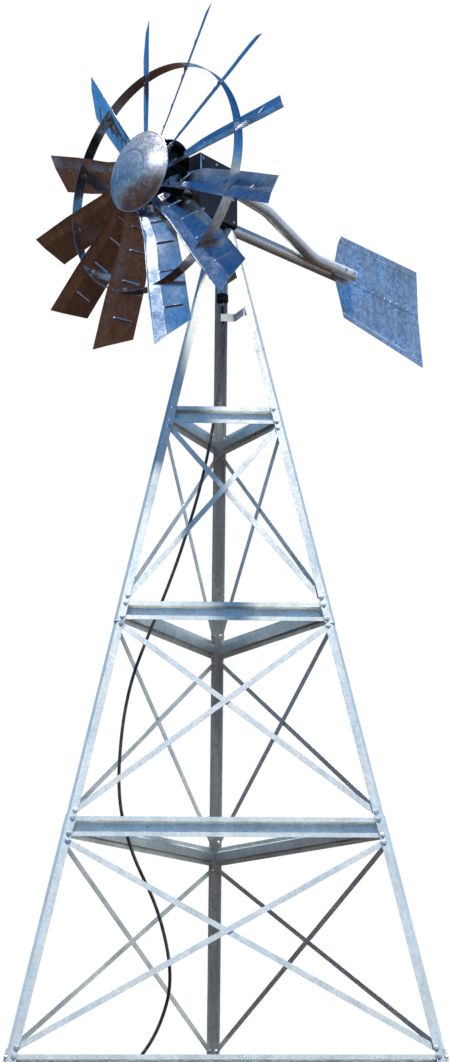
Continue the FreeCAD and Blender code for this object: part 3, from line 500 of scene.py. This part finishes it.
def chord_point(radius, aside, above):
    """A point beside a blade's line, along its chord and square to it, in metres."""
    return Vector((radius, aside * math.cos(PITCH) - above * math.sin(PITCH),
                   AXIAL_ROOT - CONE_SLOPE * (radius - BLADE_ROOT)
                   + aside * math.sin(PITCH) + above * math.cos(PITCH))) * MM


def blade_point(radius, across, above):
    """A point of a blade in the wheel's frame; across runs from -0.5 at the leading edge."""
    aside = (across + 0.5) * blade_width(radius) - between(LEADING, radius)
    return chord_point(radius - skew(radius) * across, aside, above)


def station_of(true_radius, across):
    """The station whose skewed row crosses a true radius at a place across the blade."""
    radius = true_radius
    for _ in range(6):
        radius = true_radius + skew(radius) * across
    return min(max(radius, BLADE_ROOT), BLADE_TIP)


def fold(across, width):
    """Height of the sheet above its chord: its leading third is folded back."""
    return FLAT - FOLD * width * max(0.0, -1 / 6 - across)


def step_up(value, low, high):
    """A smooth step from 0 at low to 1 at high."""
    share = min(1.0, max(0.0, (value - low) / (high - low)))
    return share * share * (3 - 2 * share)


def pressed(true_radius, across, width):
    """Raised shapes on the sheet: the cross ribs and the hem along the leading edge."""
    run = step_up(across, -0.15, -0.10) * (1 - step_up(across, 0.32, 0.37))
    rise = sum(math.exp(-((true_radius - rib) / RIB_WIDTH) ** 2) for rib in RIBS)
    hem = 1 - step_up((across + 0.5) * width, 3.0, 7.0)
    hem *= 1 - step_up(true_radius, ROWS[-1] + 10, ROWS[-1] + 30)
    return RIB_HEIGHT * rise * run + HEM_RISE * hem


ROWS = {BLADE_ROOT, BLADE_ROOT + 6}
for rib in RIBS:
    ROWS.update(rib + offset for offset in (-9, -6, -4, -2.5, -1.2, 0, 1.2, 2.5, 4, 6, 9))
ROWS.update(float(r) for r in range(184, 700, 22) if all(abs(r - rib) > 14 for rib in RIBS))
ROWS = sorted(ROWS)
TIP_SHARES = (0.25, 0.5, 0.75, 0.95, 1.0)     # rows between the last one and the tip


def blade_grid():
    """Station and true radius of one blade's points, row by row."""
    grid = [[(station_of(row, across), row) for across in ACROSS] for row in ROWS]
    last = [radius for radius, _ in grid[-1]]
    for share in TIP_SHARES:
        true_radius = ROWS[-1] + 20 * share + 15
        grid.append([(radius + (BLADE_TIP - radius) * share, true_radius) for radius in last])
    return grid


def blade(index):
    """One pressed blade: a front and a rear sheet, closed along all four edges."""
    mesh = bmesh.new()
    place = blade_turn(index)
    fronts, backs = [], []
    for line in blade_grid():
        front, back = [], []
        for across, (radius, true_radius) in zip(ACROSS, line):
            width = blade_width(radius)
            level = fold(across, width) + pressed(true_radius, across, width) + SHEET / 2
            bend = DENT * noise.noise(Vector((radius * 0.006, across * 1.6, index * 7.3)))
            bend *= step_up(radius, 220, 420) * (1 - math.exp(-((radius - RING_CLAMP) / 45) ** 2))
            bend *= 1 - step_up(radius, 700, 800)
            front.append(mesh.verts.new(place @ blade_point(radius, across, level + bend)))
            back.append(mesh.verts.new(place @ blade_point(radius, across, level + bend - SHEET)))
        fronts.append(front)
        backs.append(back)
    columns = len(ACROSS)
    for grid in (fronts, backs):
        for low, high in zip(grid, grid[1:]):
            for k in range(columns - 1):
                mesh.faces.new((low[k], low[k + 1], high[k + 1], high[k]))
    for k in range(columns - 1):
        for f, b in ((fronts[0], backs[0]), (fronts[-1], backs[-1])):
            mesh.faces.new((f[k], f[k + 1], b[k + 1], b[k]))
    for row in range(len(fronts) - 1):
        for k in (0, columns - 1):
            mesh.faces.new((fronts[row][k], fronts[row + 1][k], backs[row + 1][k], backs[row][k]))
    name = "blade_%02d" % (index + 1)
    return piece(name + "_pressed", mesh, "wheel", SHEET_ZINC, smooth=28,
                 replaces=(name,))


ROOT_PLATE_RADIUS, ROOT_BOLT_LINE = 187, -13


def root_plates():
    """A small zinc plate under the bolt heads of each blade's root."""
    mesh = bmesh.new()
    radial = Vector((1, 0, -CONE_SLOPE))
    normal = radial.cross(Vector((0, math.cos(PITCH), math.sin(PITCH)))).normalized()
    for index in range(BLADES):
        middle = chord_point(ROOT_PLATE_RADIUS, ROOT_BOLT_LINE, FLAT + SHEET / 2)
        place = blade_turn(index) @ turned_to(middle, normal, radial)
        slab(mesh, rounded(0.042, 0.034, 0.004), 0.0001, 0.0013, place, 0.0004)
    piece("blade_root_plates", mesh, "wheel", BOLT_ZINC, smooth=30)


for index in range(BLADES):
    blade(index)
root_plates()


# ---------------------------------------------------------------- nose dome

DOME_RIM, DOME_RISE, DOME_BACK = 209.0, 74.0, 581.0
DOME_STEP = (94, 101)                    # radii of the step round the pressed middle
DOME_STEP_DEPTH = 2.6
ROLL_RADIUS = 3.2
DOME_RADII = (0, 6, 14, 26, 40, 56, 72, 86, 92, 95, 97, 99, 101, 104, 108, 114, 122, 132, 142,
              152, 162, 171, 180, 188, 195, 200, 203.5)


def nose_dome():
    """A pressed dome with a stepped face and a rolled rim."""
    mesh = bmesh.new()
    ball = (DOME_RIM ** 2 + DOME_RISE ** 2) / (2 * DOME_RISE)
    profile = []
    for radius in DOME_RADII:
        level = DOME_BACK + DOME_RISE - ball + math.sqrt(ball ** 2 - radius ** 2)
        level -= DOME_STEP_DEPTH * (1 - step_up(radius, *DOME_STEP))
        profile.append((radius * MM, level * MM))
    for k in range(9):
        angle = math.radians(60 - 30 * k)
        profile.append(((DOME_RIM - 3.4 + ROLL_RADIUS * math.cos(angle)) * MM,
                        (DOME_BACK + 1.5 + ROLL_RADIUS * math.sin(angle)) * MM))
    inner = [(r, z - 2 * MM) for r, z in profile[len(DOME_RADII) - 1::-1]]
    lathe(mesh, profile + inner, WHEEL, 112)
    return piece("nose_dome_pressed", mesh, "wheel", DOME_ZINC, smooth=40,
                 replaces=("nose_dome",))


nose_dome()


# ---------------------------------------------------------------- bolts

def solids_of(node):
    """Point lists of the separate solids that a CAD node holds."""
    cad = frame["nodes"][node]
    mesh = bmesh.new()
    mesh.from_mesh(cad.data)
    bmesh.ops.remove_doubles(mesh, verts=mesh.verts[:], dist=1e-6)
    seen, groups = set(), []
    for start in mesh.verts:
        if start in seen:
            continue
        seen.add(start)
        stack, group = [start], []
        while stack:
            vert = stack.pop()
            group.append(cad.matrix_world @ vert.co)
            for edge in vert.link_edges:
                other = edge.other_vert(vert)
                if other not in seen:
                    seen.add(other)
                    stack.append(other)
        groups.append(np.array(group))
    mesh.free()
    return groups


def bolt_line(points):
    """Head end, tip end and shank radius of a plain bolt, from its points.

    The bolt's line is the direction in which its points spread unlike in the other two, and
    its head is the wider end.
    """
    centre = points.mean(axis=0)
    values, ways = np.linalg.eigh(np.cov((points - centre).T))
    odd = 2 if values[2] - values[1] > values[1] - values[0] else 0
    along = ways[:, odd]
    heights = (points - centre) @ along
    reach = np.linalg.norm(points - centre - np.outer(heights, along), axis=1)
    low, high = heights.min(), heights.max()
    low_reach, high_reach = reach[heights < low + 1e-5].max(), reach[heights > high - 1e-5].max()
    if low_reach > high_reach:
        along, low, high, low_reach = -along, -high, -low, high_reach
    head, tip = Vector(centre + along * high), Vector(centre + along * low)
    return head, tip, low_reach


def bolt_set(node, body):
    """Bolts with washers, chamfered heads, nuts and threaded ends in place of plain ones."""
    mesh = bmesh.new()
    for points in solids_of(node):
        head, tip, radius = bolt_line(points)
        along = (head - tip).normalized()
        flats = radius * 3.25
        hex_head(mesh, head - along * radius * 1.3, along, flats, radius * 1.04)
        hex_head(mesh, tip + along * radius * 2.4, -along, flats, radius * 1.2)
        crest, trough = radius * 0.97, radius * 0.84
        thread = [(0, radius * 0.02), (radius * 0.8, radius * 0.02)]
        for k in range(5):
            thread += [(crest, radius * (0.12 + 0.2 * k)), (trough, radius * (0.22 + 0.2 * k))]
        grip = (head - tip).length - radius * 1.4
        thread += [(crest, radius * 1.2), (crest, grip), (0, grip)]
        lathe(mesh, thread, turned_to(tip, along), 16)
    return piece(node + "_threaded", mesh, body, BOLT_ZINC, smooth=30,
                 replaces=(node,))


bolt_set("tower_bolts", "tower")
bolt_set("wheel_bolts", "wheel")


# ---------------------------------------------------------------- head and tail details

def at_head(x, y, z):
    """A point given in the head's frame and in millimetres."""
    return HEAD @ (Vector((x, y, z)) * MM)


def beside(side):
    """The direction square to the vane, towards one side."""
    return HEAD.to_3x3() @ Vector((0, side, 0))


def rivet(mesh, point, along, radius=4.0, height=1.8):
    """A domed rivet head standing on a sheet."""
    dome = [(radius * math.cos(a), height * math.sin(a)) for a in (0, 0.4, 0.8, 1.2)]
    profile = [(0, -0.4), (radius, -0.4)] + dome + [(0, height)]
    lathe(mesh, [(r * MM, h * MM) for r, h in profile], turned_to(point, along), 14)


VANE_UPPER_FRONT = ((-851, 4207), (-897, 4399), (-927, 4453))
VANE_UPPER_REAR = ((-1581, 4164), (-1580, 4445))
VANE_LOWER_FRONT = ((-939, 3974), (-851, 4227))
VANE_LOWER_REAR = ((-1614, 3867), (-1581, 4184))
VANE_SHEET = 1.2
VANE_SEAM = 4206                         # height of the seam between the sheets at its front end
SEAM_DROP = 22                           # from there to the rear edge
TUBE_LINE = 4205                         # height where the tubes hold the sheets flat
BUCKLE = 2.6
HEM = 30.0                               # width of the folded hem
HEM_THICK, BEAD = 1.2, 2.6


def along_line(line, share):
    """A point at a share of the height of a rising line."""
    height = line[0][1] + share * (line[-1][1] - line[0][1])
    for (x0, z0), (x1, z1) in zip(line, line[1:]):
        if height <= z1 + 1e-6:
            return Vector((x0 + (x1 - x0) * (height - z0) / (z1 - z0), height))
    return Vector(line[-1])


def vane_sheet(node, front, rear, side, hem_at_top):
    """A slightly buckled sheet with a folded hem and a bead along it."""
    mesh = bmesh.new()
    tall = front[-1][1] - front[0][1]
    folds = [0, 3, 6, HEM - 8, HEM - 5, HEM - 2.5, HEM, HEM + 2.5, HEM + 5, HEM + 8]
    ups = [f / tall for f in folds] + [0.2, 0.3, 0.4, 0.5, 0.6, 0.7, 0.8, 0.9, 0.96, 1.0]
    ups = sorted(1 - up for up in ups) if hem_at_top else ups
    outs = [k / 28 for k in range(29)]
    layers = ([], [])
    for up in ups:
        a, b = along_line(front, up), along_line(rear, up)
        edge = (1 - up if hem_at_top else up) * tall
        hem = HEM_THICK * (1 - step_up(edge, HEM - 2, HEM + 2))
        hem += BEAD * math.exp(-((edge - HEM) / BEAD) ** 2)
        rows_now = ([], [])
        for out in outs:
            spot = a.lerp(b, out)
            wave = BUCKLE * noise.noise(Vector((spot.x * 0.005, spot.y * 0.006, side * 3.0)))
            wave *= step_up(edge, HEM, HEM + 90) * step_up(out, 0.14, 0.4)
            wave *= (1 - step_up(out, 0.8, 0.97)) * step_up(abs(spot.y - TUBE_LINE), 25, 110)
            level = side * VANE_SHEET / 2 + wave
            rise = VANE_SHEET / 2 + hem * (1 - step_up(out, 0.96, 1.0))
            for row, offset in zip(rows_now, (rise, -rise)):
                row.append(mesh.verts.new(at_head(spot.x, level + offset, spot.y)))
        for layer, row in zip(layers, rows_now):
            layer.append(row)
    for layer in layers:
        for low, high in zip(layer, layer[1:]):
            for k in range(len(outs) - 1):
                mesh.faces.new((low[k], low[k + 1], high[k + 1], high[k]))
    left, right = layers
    for k in range(len(outs) - 1):
        for r in (0, -1):
            mesh.faces.new((left[r][k], left[r][k + 1], right[r][k + 1], right[r][k]))
    for r in range(len(ups) - 1):
        for k in (0, -1):
            mesh.faces.new((left[r][k], left[r + 1][k], right[r + 1][k], right[r][k]))
    return piece(node + "_hemmed", mesh, "head", VANE_ZINC, smooth=28,
                 replaces=(node,))


vane_sheet("vane_upper_sheet", VANE_UPPER_FRONT, VANE_UPPER_REAR, 1, True)
vane_sheet("vane_lower_sheet", VANE_LOWER_FRONT, VANE_LOWER_REAR, -1, False)


TUBE_FACE = 64.5                         # of the tail tubes, beside the vane
TUBE_BOLTS, TUBE_BOLT_HEIGHT = (-893, -958), 4223
FRAME_BOLTS, FRAME_BOLT_HEIGHT = (-2, 30), 4225
SEAM_RIVETS = 11
RIVETS_FROM, RIVETS_TO = -1010, -1570


def tail_fasteners():
    """Rivets along the vane's seam, and the bolts through both tubes."""
    rivets = bmesh.new()
    for k in range(SEAM_RIVETS):
        share = (k + 0.5) / SEAM_RIVETS
        for side in (1, -1):
            spot = at_head(RIVETS_FROM + (RIVETS_TO - RIVETS_FROM) * share,
                           side * (VANE_SHEET - 0.1), VANE_SEAM - SEAM_DROP * share)
            rivet(rivets, spot, beside(side))
    piece("vane_rivets", rivets, "head", BOLT_ZINC, smooth=40)
    bolts = bmesh.new()
    for x in TUBE_BOLTS:
        for side in (1, -1):
            spot = at_head(x, side * TUBE_FACE, TUBE_BOLT_HEIGHT)
            hex_head(bolts, spot, beside(side), 0.013, 0.005)
    for x in FRAME_BOLTS:
        spot = at_head(x, -TUBE_FACE, FRAME_BOLT_HEIGHT)
        hex_head(bolts, spot, beside(-1), 0.013, 0.005)
    piece("tail_bolts", bolts, "head", BOLT_ZINC, smooth=30)


COVER_SIDE = 70.0                        # half the cover's width
COVER_SCREWS = ((205, 4200), (205, 4330), (95, 4200), (-15, 4200), (-10, 4325), (10, 4465),
                (110, 4480), (205, 4485))
STRIP_SECTION = [(-0.004, 0), (0.0045, 0), (0.0045, 0.001), (0.0035, 0.0022), (-0.003, 0.0022),
                 (-0.004, 0.001)]


def cover_trim():
    """The cover's edge strips and the screws that hold it."""
    strips, screws = bmesh.new(), bmesh.new()
    for side in (1, -1):
        half_turn = Matrix.Rotation(math.radians(90 - 90 * side), 4, "Z")
        place = HEAD @ Matrix.Translation((0.2225, side * 0.0702, 4.180)) @ half_turn
        slab(strips, STRIP_SECTION, 0.150, 0.318, place, 0.0006)
        for x, z in COVER_SCREWS:
            hex_head(screws, at_head(x, side * COVER_SIDE, z), beside(side), 0.008, 0.0035)
    piece("cover_edge_strips", strips, "head", BOLT_ZINC, smooth=30)
    piece("cover_screws", screws, "head", BOLT_ZINC, smooth=30)


tail_fasteners()
cover_trim()


# ---------------------------------------------------------------- world, light and floor

SKY = [(0.575, (0.62, 0.78, 0.95)), (0.62, (0.10, 0.36, 0.74)), (0.76, (0.035, 0.20, 0.50)),
       (1.0, (0.02, 0.10, 0.30))]
EARTH = [(0.0, (0.030, 0.016, 0.010)), (0.30, (0.075, 0.036, 0.021)), (0.47, (0.13, 0.065, 0.039)),
         (0.54, (0.05, 0.038, 0.032))]
PAVING = [(0.0, (0.09, 0.08, 0.08)), (0.25, (0.28, 0.27, 0.27)), (0.40, (0.66, 0.67, 0.68)),
          (0.54, (0.80, 0.82, 0.85))]
PAVING_FROM, PAVING_TO = 0.25, 0.75      # where dark ground turns to pale, from left to right
SUN_TRAVEL = (-0.05, 0.27, -0.96)
SUN_STRENGTH, SUN_WIDTH, SUN_COLOUR = 11.0, math.radians(3), (1.0, 0.97, 0.92)
SOFT_BOX_PLACE, SOFT_BOX_TARGET = (-4.3, -5.9, 8.0), (-0.4, -0.4, 4.0)
SOFT_BOX_POWER, SOFT_BOX_SIZE = 100, 2.5


def surroundings():
    """Soft graded surroundings for the metal to reflect, with plain white behind the object."""
    world = bpy.data.worlds.new("studio")
    scene.world = world
    world.use_nodes = True
    tree = world.node_tree
    tree.nodes.clear()

    def add(kind):
        return tree.nodes.new("ShaderNode" + kind)

    def graded(stops):
        made = add("ValToRGB")
        elements = made.color_ramp.elements
        while len(elements) < len(stops):
            elements.new(0.5)
        for element, (place, colour) in zip(elements, stops):
            element.position, element.color = place, (*colour, 1)
        return made

    coords, split = add("TexCoord"), add("SeparateXYZ")
    height, across = add("MapRange"), add("MapRange")
    dark_side, pale_side, both = graded(EARTH + SKY), graded(PAVING + SKY), add("Mix")
    around, plain, mixed = add("Background"), add("Background"), add("MixShader")
    rays, output = add("LightPath"), add("OutputWorld")
    height.inputs["From Min"].default_value = -1
    across.inputs["From Min"].default_value = PAVING_FROM
    across.inputs["From Max"].default_value = PAVING_TO
    both.data_type = "RGBA"
    plain.inputs["Color"].default_value = (1, 1, 1, 1)
    for source, target in (
            (coords.outputs["Generated"], split.inputs["Vector"]),
            (split.outputs["Z"], height.inputs["Value"]),
            (split.outputs["X"], across.inputs["Value"]),
            (height.outputs["Result"], dark_side.inputs["Fac"]),
            (height.outputs["Result"], pale_side.inputs["Fac"]),
            (across.outputs["Result"], both.inputs[0]),
            (dark_side.outputs["Color"], both.inputs[6]),
            (pale_side.outputs["Color"], both.inputs[7]),
            (both.outputs[2], around.inputs["Color"]),
            (rays.outputs["Is Camera Ray"], mixed.inputs["Fac"]),
            (around.outputs[0], mixed.inputs[1]),
            (plain.outputs[0], mixed.inputs[2]),
            (mixed.outputs[0], output.inputs["Surface"])):
        tree.links.new(source, target)


def lamp(name, kind, travel, energy):
    """A light whose rays travel along a direction."""
    made = bpy.data.objects.new(name, bpy.data.lights.new(name, kind))
    scene.collection.objects.link(made)
    made.data.energy = energy
    made.rotation_mode = "QUATERNION"
    made.rotation_quaternion = Vector(travel).to_track_quat("-Z", "Y")
    return made


surroundings()
key = lamp("key", "SUN", SUN_TRAVEL, SUN_STRENGTH)
key.data.angle = SUN_WIDTH
key.data.color = SUN_COLOUR
toward = Vector(SOFT_BOX_TARGET) - Vector(SOFT_BOX_PLACE)
soft_box = lamp("soft_box", "AREA", toward, SOFT_BOX_POWER)
soft_box.location = SOFT_BOX_PLACE
soft_box.data.size = SOFT_BOX_SIZE
scene.view_settings.view_transform = "Standard"

FLOOR_SIZE = 14.0
floor = bpy.data.objects.new("floor", bpy.data.meshes.new("floor"))
plane = bmesh.new()
bmesh.ops.create_grid(plane, x_segments=8, y_segments=8, size=FLOOR_SIZE)
plane.to_mesh(floor.data)
plane.free()
scene.collection.objects.link(floor)
floor_finish = Finish("floor", Roughness=0.85)
grain = floor_finish.noise(3.0, 4.0)
floor.data.materials.append(floor_finish.finish(
    floor_finish.ramp(grain, [(0.3, (0.78, 0.78, 0.77)), (0.7, (0.84, 0.84, 0.83))]),
    normal=floor_finish.bump(floor_finish.noise(90.0, 3.0), 0.06, 0.002)))
floor.visible_glossy = floor.visible_diffuse = False
